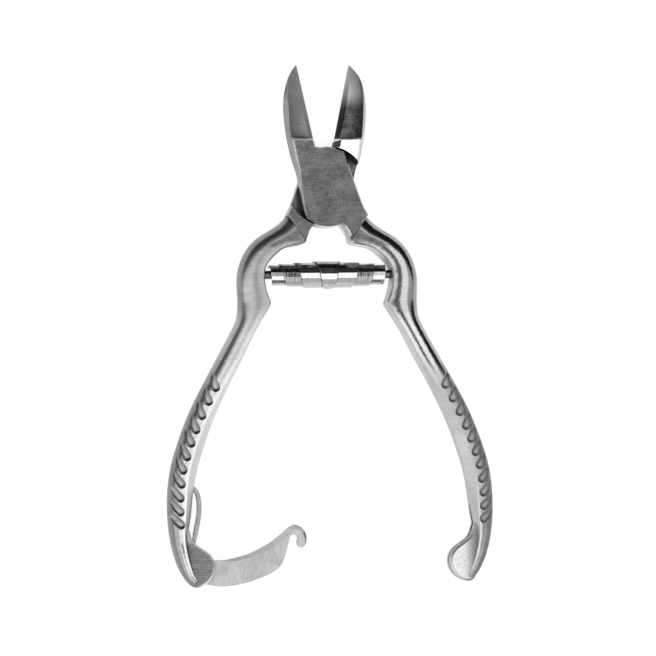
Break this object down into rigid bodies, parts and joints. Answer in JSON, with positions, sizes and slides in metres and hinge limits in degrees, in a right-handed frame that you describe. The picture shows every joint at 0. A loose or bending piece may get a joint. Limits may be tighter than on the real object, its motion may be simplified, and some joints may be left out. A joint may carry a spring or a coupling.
{
  "type": "toenail nippers",
  "caption": "Steel toenail nippers with a lap joint, straight pointed jaws, barrel spring between bowed handles, grooved grips and a hooked lock catch.",
  "frame": {"origin": "on the pivot axis, in the plane of the joint's back face", "axes": "+Y from the pivot to the jaw tips, +X to the right handle, +Z out of the front face"},
  "size_m": [0.0876, 0.1387, 0.008],
  "materials": {
    "forged_steel": "satin",
    "strip_steel": "brushed across the strip",
    "spring_steel": "bright"
  },
  "bodies": {
    "rear": {"rear_lever": "forged_steel", "pivot_pin": "forged_steel", "spring_peg_left": "forged_steel", "catch_pin": "forged_steel", "catch_leaf_spring": "spring_steel"},
    "front": {"front_lever": "forged_steel", "spring_peg_right": "forged_steel", "keeper_pin": "forged_steel"},
    "spring": {"barrel_spring": "spring_steel"},
    "catch": {"catch": "strip_steel"}
  },
  "joints": [
    {"name": "lever_hinge", "type": "hinge", "parent": "rear", "child": "front", "pos_m": [0, 0, 0.004], "axis": [0, 0, -1], "range_deg": [0, 24], "stiffness_Nm_per_rad": 1, "deforming": ["barrel_spring"]},
    {"name": "spring_follow", "type": "hinge", "parent": "rear", "child": "spring", "pos_m": [-0.01362, 0.00145, 0.004], "axis": [0, 0, -1], "range_deg": [0, 12], "deforming": ["barrel_spring"]},
    {"name": "catch_hinge", "type": "hinge", "parent": "rear", "child": "catch", "pos_m": [-0.0349, -0.101, 0.004], "axis": [0, 0, 1], "range_deg": [-27, 20]}
  ],
  "couplings": [
    {"joint": "spring_follow", "follows": "lever_hinge", "ratio": 0.5}
  ]
}
